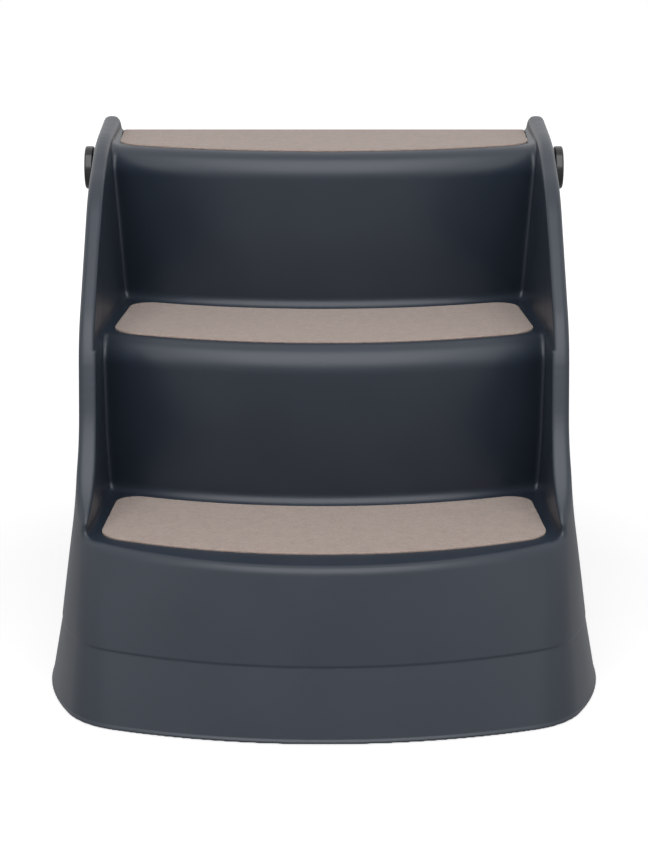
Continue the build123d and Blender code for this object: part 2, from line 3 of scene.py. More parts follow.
import bmesh
import bpy
import numpy as np
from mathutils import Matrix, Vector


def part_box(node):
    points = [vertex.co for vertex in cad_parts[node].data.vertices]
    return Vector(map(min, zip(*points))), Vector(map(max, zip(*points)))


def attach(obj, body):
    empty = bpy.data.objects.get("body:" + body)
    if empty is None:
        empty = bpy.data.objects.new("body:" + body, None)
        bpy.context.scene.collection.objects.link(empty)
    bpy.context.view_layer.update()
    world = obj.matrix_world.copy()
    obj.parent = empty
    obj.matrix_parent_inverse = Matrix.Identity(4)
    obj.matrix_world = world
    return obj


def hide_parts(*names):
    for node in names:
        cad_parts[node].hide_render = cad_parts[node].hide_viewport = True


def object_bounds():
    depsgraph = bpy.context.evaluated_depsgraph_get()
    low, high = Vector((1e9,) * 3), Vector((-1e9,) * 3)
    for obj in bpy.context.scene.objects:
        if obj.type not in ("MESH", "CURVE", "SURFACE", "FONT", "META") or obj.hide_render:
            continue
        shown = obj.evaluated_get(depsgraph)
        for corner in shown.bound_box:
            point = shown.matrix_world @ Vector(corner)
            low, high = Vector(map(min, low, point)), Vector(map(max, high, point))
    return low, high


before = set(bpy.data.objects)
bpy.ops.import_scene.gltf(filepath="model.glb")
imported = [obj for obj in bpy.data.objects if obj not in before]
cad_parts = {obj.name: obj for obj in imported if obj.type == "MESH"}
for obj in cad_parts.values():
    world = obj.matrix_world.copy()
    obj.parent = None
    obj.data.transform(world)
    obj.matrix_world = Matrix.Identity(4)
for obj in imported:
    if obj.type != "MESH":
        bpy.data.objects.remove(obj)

import openvdb
from mathutils import Vector
from mathutils.geometry import delaunay_2d_cdt

cad_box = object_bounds()

bl_info = {
    "name": "Folding pet stairs",
    "version": (1, 0, 0),
    "blender": (4, 5, 0),
    "location": "View3D > Sidebar > Pet stairs",
    "description": "Moulded shell, felt pads and finishes of folding three-step pet stairs",
    "category": "Object",
}

PADS = ("lower", "middle", "upper")
SIDES = ("left", "right")
FEET = ("front_left", "front_right", "side_left", "side_right")


def linear(colour):
    """Turns an sRGB hex colour into Blender's linear values."""
    parts = [int(colour[i:i + 2], 16) / 255 for i in (1, 3, 5)]
    return [c / 12.92 if c <= 0.04045 else ((c + 0.055) / 1.055) ** 2.4 for c in parts] + [1.0]


def hex_of(colour):
    """Writes a colour property as the hex value that linear reads."""
    return "#" + "".join(f"{round(c * 255):02x}" for c in colour[:3])


def srgb(colour):
    """Turns a hex colour into the shares of a colour property."""
    return [int(colour[i:i + 2], 16) / 255 for i in (1, 3, 5)]


def new_material(name):
    """Makes a material and returns it with its tree and its shader."""
    material = bpy.data.materials.new(name)
    material.use_nodes = True
    tree = material.node_tree
    return material, tree, tree.nodes["Principled BSDF"]


def add_node(tree, kind, links=None, **settings):
    """Adds a node with its settings; links names its inputs and the outputs or values that feed them."""
    node = tree.nodes.new(kind)
    for key, value in settings.items():
        setattr(node, key, value)
    for key, value in (links or {}).items():
        socket = node.inputs[key]
        if isinstance(value, bpy.types.NodeSocket):
            tree.links.new(value, socket)
        else:
            socket.default_value = value
    return node


def set_shader(shader, **values):
    """Sets the shader's own sockets; an underscore in a key stands for a space."""
    for key, value in values.items():
        shader.inputs[key.replace("_", " ")].default_value = value


def per_metre(millimetres):
    """Texture scale whose pattern repeats about once in that many millimetres."""
    return 1000.0 / millimetres


def dress(names, material):
    """Gives CAD nodes their finish."""
    for name in names:
        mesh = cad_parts[name].data
        mesh.materials.clear()
        mesh.materials.append(material)


def moulded_polypropylene(look):
    """Injection-moulded polypropylene from a spark-eroded tool.

    The eye sees a satin, slightly blue anthracite with a grain too fine to make out, soft broad
    highlights and faint flow clouds."""
    material, tree, shader = new_material("moulded polypropylene")
    place = add_node(tree, "ShaderNodeTexCoord").outputs["Object"]
    clouds = add_node(tree, "ShaderNodeTexNoise", {
        "Vector": place, "Scale": per_metre(look.cloud_size), "Detail": 3.0, "Roughness": 0.45})
    # The spark-eroded grain is about 0.1 mm; it is drawn four times as coarse so that it shows at all
    grain = add_node(tree, "ShaderNodeTexNoise", {
        "Vector": place, "Scale": per_metre(look.grain_size), "Detail": 2.0, "Roughness": 0.6})
    tint = add_node(tree, "ShaderNodeMapRange", {
        "Value": clouds.outputs["Fac"], "From Min": 0.3, "From Max": 0.7, "To Min": 0.0, "To Max": 1.0})
    colour = add_node(tree, "ShaderNodeMix", {
        "Factor": tint.outputs["Result"],
        "A": linear(hex_of(look.plastic)), "B": linear(hex_of(look.plastic_cloud))}, data_type="RGBA")
    tree.links.new(colour.outputs["Result"], shader.inputs["Base Color"])
    gloss = add_node(tree, "ShaderNodeMapRange", {
        "Value": clouds.outputs["Fac"], "From Min": 0.3, "From Max": 0.7,
        "To Min": look.plastic_roughness - 0.02, "To Max": look.plastic_roughness + 0.03})
    tree.links.new(gloss.outputs["Result"], shader.inputs["Roughness"])
    bump = add_node(tree, "ShaderNodeBump", {
        "Height": grain.outputs["Fac"], "Strength": 0.25, "Distance": look.grain_depth / 1000})
    tree.links.new(bump.outputs["Normal"], shader.inputs["Normal"])
    set_shader(shader, IOR=1.49)
    return material


def needled_felt(look):
    """Needle-punched polyester felt.

    The eye sees a matt, mottled taupe with lighter and darker fibres lying every way and a soft,
    slightly paler fuzz where the surface turns away."""
    material, tree, shader = new_material("needled felt")
    place = add_node(tree, "ShaderNodeTexCoord").outputs["Object"]
    mottle = add_node(tree, "ShaderNodeTexNoise", {
        "Vector": place, "Scale": per_metre(look.mottle_size), "Detail": 5.0, "Roughness": 0.65})
    # Fibres are 0.03 mm thick; their tangle is drawn at one to two millimetres, the least that shows
    fibre = add_node(tree, "ShaderNodeTexNoise", {
        "Vector": place, "Scale": per_metre(look.fibre_size), "Detail": 4.0, "Roughness": 0.75,
        "Distortion": 1.5})
    tangle = add_node(tree, "ShaderNodeTexVoronoi", {
        "Vector": place, "Scale": per_metre(look.fibre_size * 1.7), "Randomness": 1.0})
    shade = add_node(tree, "ShaderNodeValToRGB", {"Fac": mottle.outputs["Fac"]})
    shade.color_ramp.elements[0].position = 0.3
    shade.color_ramp.elements[0].color = linear(hex_of(look.felt_dark))
    shade.color_ramp.elements[1].position = 0.7
    shade.color_ramp.elements[1].color = linear(hex_of(look.felt))
    strands = add_node(tree, "ShaderNodeMapRange", {
        "Value": fibre.outputs["Fac"], "From Min": 0.35, "From Max": 0.7, "To Min": 0.0, "To Max": 1.0})
    colour = add_node(tree, "ShaderNodeMix", {
        "Factor": strands.outputs["Result"],
        "A": shade.outputs["Color"], "B": linear(hex_of(look.felt_light))}, data_type="RGBA")
    tree.links.new(colour.outputs["Result"], shader.inputs["Base Color"])
    height = add_node(tree, "ShaderNodeMath", {
        0: fibre.outputs["Fac"], 1: tangle.outputs["Distance"]}, operation="ADD")
    bump = add_node(tree, "ShaderNodeBump", {
        "Height": height.outputs["Value"], "Strength": 0.8, "Distance": look.pile_depth / 1000})
    tree.links.new(bump.outputs["Normal"], shader.inputs["Normal"])
    set_shader(shader, Roughness=0.95, Sheen_Weight=0.25, Sheen_Roughness=0.5, IOR=1.5,
               Specular_IOR_Level=0.2)
    return material


def polished_abs(look):
    """ABS moulded in a polished tool: near-black and glossy, with a slight waviness in its reflections."""
    material, tree, shader = new_material("polished ABS")
    place = add_node(tree, "ShaderNodeTexCoord").outputs["Object"]
    waves = add_node(tree, "ShaderNodeTexNoise", {"Vector": place, "Scale": per_metre(9.0), "Detail": 1.0})
    smears = add_node(tree, "ShaderNodeTexNoise", {
        "Vector": place, "Scale": per_metre(4.0), "Detail": 4.0, "Distortion": 0.8})
    gloss = add_node(tree, "ShaderNodeMapRange", {
        "Value": smears.outputs["Fac"], "From Min": 0.35, "From Max": 0.7, "To Min": 0.14, "To Max": 0.24})
    tree.links.new(gloss.outputs["Result"], shader.inputs["Roughness"])
    bump = add_node(tree, "ShaderNodeBump", {
        "Height": waves.outputs["Fac"], "Strength": 0.15, "Distance": 0.0002})
    tree.links.new(bump.outputs["Normal"], shader.inputs["Normal"])
    set_shader(shader, Base_Color=linear(hex_of(look.knob)), IOR=1.53)
    return material


def cast_nylon(look):
    """Natural nylon 6, turned: milky off-white, a little translucent, with fine marks of the tool."""
    material, tree, shader = new_material("cast nylon")
    place = add_node(tree, "ShaderNodeTexCoord").outputs["Object"]
    marks = add_node(tree, "ShaderNodeTexNoise", {"Vector": place, "Scale": per_metre(1.2), "Detail": 3.0})
    bump = add_node(tree, "ShaderNodeBump", {
        "Height": marks.outputs["Fac"], "Strength": 0.3, "Distance": 0.00008})
    tree.links.new(bump.outputs["Normal"], shader.inputs["Normal"])
    set_shader(shader, Base_Color=linear(hex_of(look.nylon)), Roughness=0.42, IOR=1.53,
               Subsurface_Weight=0.2, Subsurface_Scale=0.002)
    return material


def zinc_plated_steel(look):
    """Turned steel, zinc plated and passivated: cool silver with faint cloudy patches."""
    material, tree, shader = new_material("zinc-plated steel")
    place = add_node(tree, "ShaderNodeTexCoord").outputs["Object"]
    patches = add_node(tree, "ShaderNodeTexNoise", {
        "Vector": place, "Scale": per_metre(3.0), "Detail": 4.0, "Roughness": 0.6})
    gloss = add_node(tree, "ShaderNodeMapRange", {
        "Value": patches.outputs["Fac"], "From Min": 0.3, "From Max": 0.7, "To Min": 0.25, "To Max": 0.42})
    tree.links.new(gloss.outputs["Result"], shader.inputs["Roughness"])
    bump = add_node(tree, "ShaderNodeBump", {
        "Height": patches.outputs["Fac"], "Strength": 0.1, "Distance": 0.0001})
    tree.links.new(bump.outputs["Normal"], shader.inputs["Normal"])
    set_shader(shader, Base_Color=linear(hex_of(look.steel)), Metallic=1.0)
    return material


def moulded_rubber(look):
    """Compression-moulded rubber: soft black, matt, with a bloom of pale dust."""
    material, tree, shader = new_material("moulded rubber")
    place = add_node(tree, "ShaderNodeTexCoord").outputs["Object"]
    dust = add_node(tree, "ShaderNodeTexNoise", {
        "Vector": place, "Scale": per_metre(2.0), "Detail": 5.0, "Roughness": 0.7})
    colour = add_node(tree, "ShaderNodeMix", {
        "Factor": dust.outputs["Fac"],
        "A": linear(hex_of(look.rubber)), "B": linear(hex_of(look.rubber_dust))}, data_type="RGBA")
    tree.links.new(colour.outputs["Result"], shader.inputs["Base Color"])
    bump = add_node(tree, "ShaderNodeBump", {
        "Height": dust.outputs["Fac"], "Strength": 0.4, "Distance": 0.0001})
    tree.links.new(bump.outputs["Normal"], shader.inputs["Normal"])
    set_shader(shader, Roughness=0.78, IOR=1.52)
    return material


def adhesive_tape(look):
    """Double-sided tissue tape: a dull cream film with a trace of fibre in it."""
    material, tree, shader = new_material("adhesive tape")
    place = add_node(tree, "ShaderNodeTexCoord").outputs["Object"]
    tissue = add_node(tree, "ShaderNodeTexNoise", {
        "Vector": place, "Scale": per_metre(1.5), "Detail": 4.0, "Distortion": 2.0})
    colour = add_node(tree, "ShaderNodeMix", {
        "Factor": tissue.outputs["Fac"],
        "A": linear(hex_of(look.tape)), "B": linear(hex_of(look.tape_tissue))}, data_type="RGBA")
    tree.links.new(colour.outputs["Result"], shader.inputs["Base Color"])
    set_shader(shader, Roughness=0.55, IOR=1.47)
    return material


def colour_property(name, text, default):
    """Colour of a finish, written as sRGB hex."""
    return bpy.props.FloatVectorProperty(
        name=name, description=text, subtype="COLOR_GAMMA", size=3, default=srgb(default), min=0, max=1)


def grain_property(name, text, default, least):
    """Size of a finish's grain in millimetres."""
    return bpy.props.FloatProperty(
        name=name, description=f"{text} in millimetres", default=default, min=least)


def length_property(name, text, default, least=0.0):
    """Length in metres."""
    return bpy.props.FloatProperty(
        name=name, description=text, subtype="DISTANCE", default=default, min=least)


class StairsLook(bpy.types.PropertyGroup):
    """Colours and grain of the finishes."""

    plastic: colour_property("Plastic", "Colour of the moulded plastic", "#222a35")
    plastic_cloud: colour_property("Plastic clouds", "Colour of the faint flow clouds", "#252d38")
    plastic_roughness: bpy.props.FloatProperty(
        name="Plastic roughness", description="Roughness of the satin grain", subtype="FACTOR",
        default=0.38, min=0, max=1)
    cloud_size: grain_property("Cloud size", "Width of the flow clouds", 70.0, 1)
    grain_size: grain_property("Grain size", "Width of the drawn grain", 0.45, 0.1)
    grain_depth: grain_property("Grain depth", "Depth of the grain", 0.05, 0)
    felt: colour_property("Felt", "Main colour of the felt", "#a19087")
    felt_dark: colour_property("Felt, dark", "Colour of the darker fibres", "#8d7c73")
    felt_light: colour_property("Felt, light", "Colour of the paler fibres", "#b3a299")
    mottle_size: grain_property("Mottle size", "Width of the felt's mottling", 9.0, 1)
    fibre_size: grain_property("Fibre size", "Width of the drawn fibre tangle", 1.6, 0.1)
    pile_depth: grain_property("Pile depth", "Depth of the felt's nap", 0.5, 0)
    knob: colour_property("Knob", "Colour of the hinge knobs", "#131418")
    nylon: colour_property("Nylon", "Colour of the bushes and thrust washers", "#dedbcf")
    steel: colour_property("Steel", "Colour of the screws and their washers", "#c3c5c8")
    rubber: colour_property("Rubber", "Colour of the feet", "#171718")
    rubber_dust: colour_property("Rubber dust", "Colour of the dust on the feet", "#2a2a2b")
    tape: colour_property("Tape", "Colour of the adhesive tape", "#d3cbb6")
    tape_tissue: colour_property("Tape tissue", "Colour of the fibres in the tape", "#b5ab93")
    floor: colour_property("Floor", "Colour of the paper floor", "#a4a4a4")


class StairsSizes(bpy.types.PropertyGroup):
    """Roundings and grids of the drawn pieces and places of the stage, in metres."""

    shell_grid: length_property("Shell grid", "Spacing of the points of the shell's field", 0.002, 0.001)
    rail_round: length_property("Rail round", "Radius of the rails' inner edge", 0.004)
    rim_round: length_property("Rim round", "Radius of the rim and of the rails' outer edge", 0.0065)
    corner_fillet: length_property("Corner fillet", "Radius between the steps and the side walls", 0.005)
    foot_blend: length_property("Foot blend", "Radius between the lowest tread and the rails' feet", 0.026)
    riser_fillet: length_property("Riser fillet", "Radius at the foot of each riser", 0.010)
    pad_edge: length_property("Pad edge", "Radius of the pads' cut upper edge", 0.0011, 0.0002)
    pad_grid: length_property("Pad grid", "Distance between the points of a pad's mesh", 0.004, 0.001)
    pad_wave: length_property("Pad wave", "Height of the felt's slight waviness", 0.00018)
    camera_distance: length_property("Camera distance", "Distance of the camera before the origin", 2.404)
    camera_height: length_property("Camera height", "Height of the camera", 0.8316)
    camera_dip: bpy.props.FloatProperty(
        name="Camera dip", description="Angle by which the camera looks down", subtype="ANGLE",
        default=radians(14.57))
    camera_lens: bpy.props.FloatProperty(
        name="Camera lens", description="Focal length in millimetres", default=105.2, min=10)
    floor_size: length_property("Floor size", "Width of the floor", 14.0, 1)


def outline_of(node):
    """Corner points of a flat pad's upper face, in order round its edge."""
    mesh = node.data
    top = max(v.co.z for v in mesh.vertices)
    work = bmesh.new()
    work.from_mesh(mesh)
    bmesh.ops.remove_doubles(work, verts=work.verts, dist=1e-6)
    low = [f for f in work.faces if any(abs(v.co.z - top) > 1e-5 for v in f.verts)]
    bmesh.ops.delete(work, geom=low, context="FACES")
    edges = [e for e in work.edges if e.is_boundary]
    start = edges[0].verts[0]
    loop, last, here = [start.co.copy()], None, start
    while True:
        step = next(e for e in here.link_edges if e.is_boundary and e is not last)
        here, last = step.other_vert(here), step
        if here is start:
            break
        loop.append(here.co.copy())
    work.free()
    return loop


def even_steps(loop, step):
    """Points spaced evenly along a closed loop."""
    pieces = list(zip(loop, loop[1:] + loop[:1]))
    total = sum((b - a).length for a, b in pieces)
    count = round(total / step)
    gap = total / count
    points, walked, due = [], 0.0, 0.0
    for a, b in pieces:
        length = (b - a).length
        while due < walked + length and len(points) < count:
            points.append(a.lerp(b, (due - walked) / length))
            due += gap
        walked += length
    return points


def inwards(loop):
    """Unit vector that points into the loop at each of its points."""
    turn = sum(a.x * b.y - b.x * a.y for a, b in zip(loop, loop[1:] + loop[:1]))
    sign = 1 if turn > 0 else -1
    vectors = []
    for before, after in zip(loop[-1:] + loop[:-1], loop[1:] + loop[:1]):
        along = (after - before).normalized()
        vectors.append(Vector((-along.y, along.x, 0)) * sign)
    return vectors


def wave(x, y):
    """Slight waviness of a felt sheet, from -1 to 1, in waves of about 4 to 15 centimetres."""
    broad = sin(41 * x + 1.3) * cos(67 * y + 0.7)
    return (broad + 0.6 * sin(93 * x - 58 * y) + 0.4 * cos(151 * y + 87 * x)) / 2


def edge_rings(loop, inward, bottom, top, radius, steps=5):
    """Rings of points up the side of a pad and over its rounded upper edge."""
    rings = [[Vector((p.x, p.y, bottom)) for p in loop]]
    for i in range(steps + 1):
        angle = pi / 2 * i / steps
        sink, draw = radius * (1 - sin(angle)), radius * (1 - cos(angle))
        rings.append([Vector((p.x, p.y, top - sink)) + n * draw for p, n in zip(loop, inward)])
    return rings


def inside(spot, loop):
    """Whether a spot lies in a closed loop, seen from above."""
    within = False
    for a, b in zip(loop, loop[1:] + loop[:1]):
        if (a.y > spot.y) != (b.y > spot.y):
            if spot.x < a.x + (b.x - a.x) * (spot.y - a.y) / (b.y - a.y):
                within = not within
    return within


def grid_inside(loop, low, high, step):
    """Points of an even grid over a box that lie in a closed loop."""
    points = []
    for row in range(int((high.y - low.y) / step) + 1):
        for column in range(int((high.x - low.x) / step) + 1):
            spot = Vector((low.x + column * step, low.y + row * step))
            if inside(spot, loop):
                points.append(spot)
    return points


def felt_pad(name, node, sizes):
    """Felt pad cut to the outline of its node, with a rounded upper edge and a slightly uneven face."""
    low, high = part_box(node.name)
    loop = even_steps(outline_of(node), sizes.pad_grid / 2)
    inward = inwards(loop)
    count = len(loop)
    rings = edge_rings(loop, inward, low.z, high.z, sizes.pad_edge)
    work = bmesh.new()
    rows = [[work.verts.new(p) for p in ring] for ring in rings]
    for lower, upper in zip(rows, rows[1:]):
        for i in range(count):
            j = (i + 1) % count
            work.faces.new((lower[i], lower[j], upper[j], upper[i]))
    work.faces.new(reversed(rows[0]))
    # Upper face: the last ring, filled with an even grid that starts a little inside it
    rim = rings[-1]
    inner = [p + n * sizes.pad_grid * 0.7 for p, n in zip(rim, inward)]
    points = [Vector((p.x, p.y)) for p in rim] + grid_inside(inner, low, high, sizes.pad_grid)
    ring_edges = [(i, (i + 1) % count) for i in range(count)]
    spots, _, faces, _, _, _ = delaunay_2d_cdt(points, ring_edges, [], 1, 1e-7)
    height = max(p.z for p in rim)
    verts = list(rows[-1])
    for spot in spots[count:]:
        lift = sizes.pad_wave * (wave(spot.x, spot.y) - 1)
        verts.append(work.verts.new((spot.x, spot.y, height + lift)))
    for face in faces:
        work.faces.new([verts[i] for i in face])
    bmesh.ops.recalc_face_normals(work, faces=work.faces)
    mesh = bpy.data.meshes.new(name)
    work.to_mesh(mesh)
    work.free()
    mesh.shade_smooth()
    pad = bpy.data.objects.new(name, mesh)
    bpy.context.scene.collection.objects.link(pad)
    return pad


# Sizes of the moulded shell in millimetres. Heights are from the floor, runs from the skirt's front edge,
# halves from the middle plane; bosses, bores and holes are given by their radius.
MM = 1000.0
RISE, WALL = 157.5, 3.2
# Skirt: the gap under it, the lip at its foot, and the lower band with the ledge above it
FLOOR_GAP, LIP, LIP_HEIGHT = 1.0, 0.8, 4.0
BAND, BAND_HEIGHT, BAND_LEDGE = 2.7, 69.0, 0.7
# Plan: radii of front, corner and side at the base and at the rim, and the side arc's start in degrees
BASE_RADII, RIM_RADII, SIDE_ARC_START = (530.0, 75.0, 280.0), (333.0, 60.0, 120.0), 65.0
SKIRT_FLARE, RIM_SETBACK, WALL_STEP_IN = 25.7, 26.0, 6.3
# Side view: corners of the rail line with their radii; rounding takes its rear end down by about 3 mm
RAIL_WIDTH, RAIL_REAR, RAIL_TOP = 15.0, 545.0, 494.0
RAIL_LINE = ((157.0, RISE), (190.0, 330.0), (317.0, 448.0), (407.0, 482.0), (RAIL_REAR, RAIL_TOP))
RAIL_ROUNDS = (130.0, 90.0, 150.0, 250.0, 30.0)
# The lobe at the hinge and the straight cutaway between it and the floor
LOBE_BOTTOM, LOBE_FRONT, CUTAWAY_FLOOR, LOBE_ROUNDS = 385.0, 492.0, 302.0, (12.0, 40.0)
CUTAWAY_SLOPE = (LOBE_FRONT - CUTAWAY_FLOOR) / LOBE_BOTTOM
FLANGE, CUT_ROUND = 10.0, 1.0
# How far the side view goes on before the skirt, and down to where it goes on below the floor
BEFORE, BELOW = 100.0, -60.0
# Steps: runs of the nosings, their radius in plan and in section, and how far each riser leans
NOSING_RUNS, NOSING_PLAN, NOSING, RAKE = (201.0, 364.0), 480.0, 26.0, 24.0
# Where the wide fillet at the rails' feet ends, upwards and rearwards, and over what length it fades
FILLET_TOP, FILLET_RUN, FILLET_FADE = 230.0, 120.0, 45.0
# Where the rails start to turn fully round
CROWN_START, CROWN_FADE = 440.0, 45.0
# Stops of the rear support: middle, width, heights, and the leg's front face from the hinge's axis
STOP, STOP_WIDTH, STOP_LOW, STOP_HIGH, LEG_REACH, LEG_SLOPE = 194.5, 17.0, 389.0, 409.0, 25.9, 0.217
RIB_SPACING, RIB_THICKNESS, RIB_DEPTH, RIB_COUNT = 70.0, 2.4, 12.0, 2
# Hinge boss: its outer end lies inside the wall; its bore goes on a little past the inner end
BOSS, BOSS_DEPTH, BOSS_INSET, BORE, BORE_PAST = 17.0, 24.0, 1.5, 11.05, 5
FOOT_BOSS, FOOT_BOSS_TOP, FOOT_RECESS, FOOT_RECESS_TOP = 15.5, 29.0, 12.05, 3.0
FOOT_HOLE, FOOT_HOLE_TOP = 4.05, 12.0
REAR_OPENING, REAR_OPENING_TOP, REAR_OPENING_DEPTH = 184.0, 446.5, 12.0
RECESS, RECESS_GAP = 1.0, 0.5
# Inner faces of the side walls on each storey: runs, then half widths at the tread and above it
LOWER_WALLS = ((-5.0, 85.0, 160.0, 262.0), (232.0, 220.0, 212.0, 209.5), (213.0, 211.0, 211.0, 211.5))
MIDDLE_WALLS = ((272.0, 417.0), (213.0, 203.5), (213.0, 213.0))
UPPER_WALLS = ((417.0, RAIL_REAR), (213.0, 210.5), (213.0, 212.0))
# Height over which the feet of the rails flare outwards
FOOT_FLARE = 60.0
# Step in degrees in which the corners of the side view are drawn
ARC_STEP = 1.5


def clamped(share):
    """A share kept between 0 and 1."""
    return min(1.0, max(0.0, share))


def mix(a, b, share):
    """Value that lies a share of the way from a to b."""
    return a * (1 - share) + b * share


def cut(a, b, rounding):
    """What two forms share, with a rounded edge where they meet."""
    return np.minimum(np.maximum(a, b), -rounding) + np.hypot(
        np.maximum(a + rounding, 0), np.maximum(b + rounding, 0))


def join(a, b, rounding):
    """Two forms in one, with a hollow fillet where they meet."""
    return np.maximum(np.minimum(a, b), rounding) - np.hypot(
        np.maximum(rounding - a, 0), np.maximum(rounding - b, 0))


def distance_to_loop(u, v, loop):
    """Distance of points to a closed loop, negative inside it."""
    nearest = np.full(np.broadcast(u, v).shape, np.inf)
    within = np.zeros(nearest.shape, bool)
    for (au, av), (bu, bv) in zip(loop, loop[1:] + loop[:1]):
        du, dv = bu - au, bv - av
        along = np.clip(((u - au) * du + (v - av) * dv) / (du * du + dv * dv), 0, 1)
        nearest = np.minimum(nearest, (u - au - along * du) ** 2 + (v - av - along * dv) ** 2)
        if av != bv:
            within ^= ((av > v) != (bv > v)) & (u < au + du * (v - av) / dv)
    return np.where(within, -1, 1) * np.sqrt(nearest)


def rounded_loop(corners, rounds):
    """Closed loop whose corners are arcs of the given radii."""
    loop = []
    count = len(corners)
    for i, (corner, radius) in enumerate(zip(corners, rounds)):
        here = Vector(corner)
        if not radius:
            loop.append(tuple(here))
            continue
        back = (Vector(corners[i - 1]) - here).normalized()
        ahead = (Vector(corners[(i + 1) % count]) - here).normalized()
        opening = back.angle(ahead)
        reach = radius / tan(opening / 2)
        centre = here + (back + ahead).normalized() * (radius / sin(opening / 2))
        first, last = here + back * reach - centre, here + ahead * reach - centre
        turn = first.angle_signed(last)
        steps = max(2, round(abs(turn) / radians(ARC_STEP)))
        for step in range(steps + 1):
            angle = -turn * step / steps
            loop.append((
                centre.x + first.x * cos(angle) - first.y * sin(angle),
                centre.y + first.x * sin(angle) + first.y * cos(angle)))
    return loop


def plan_form(x, y, half, front, radii):
    """D-shaped outline seen from above: a front arc, a corner arc, a side arc and a straight side."""
    front_radius, corner_radius, side_radius = radii
    side = radians(SIDE_ARC_START)
    straight = half - corner_radius * sin(side) - side_radius * (1 - sin(side))
    turn = asin(straight / (front_radius - corner_radius))
    corner_y = front + front_radius - (front_radius - corner_radius) * cos(turn)
    side_y = corner_y + (side_radius - corner_radius) * cos(side)
    form = np.hypot(x, y - front - front_radius) - front_radius
    past_front = x * cos(turn) + (y - front - front_radius) * sin(turn) > 0
    form = np.where(past_front, np.hypot(x - straight, y - corner_y) - corner_radius, form)
    past_corner = past_front & ((x - straight) * cos(side) + (y - corner_y) * sin(side) > 0)
    form = np.where(past_corner, np.hypot(x - half + side_radius, y - side_y) - side_radius, form)
    return np.where(past_corner & (y > side_y), x - half + 0 * y, form)


def middle_of(name):
    """Middle of a node's box in millimetres."""
    return [(low + high) * MM / 2 for low, high in zip(*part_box(name))]


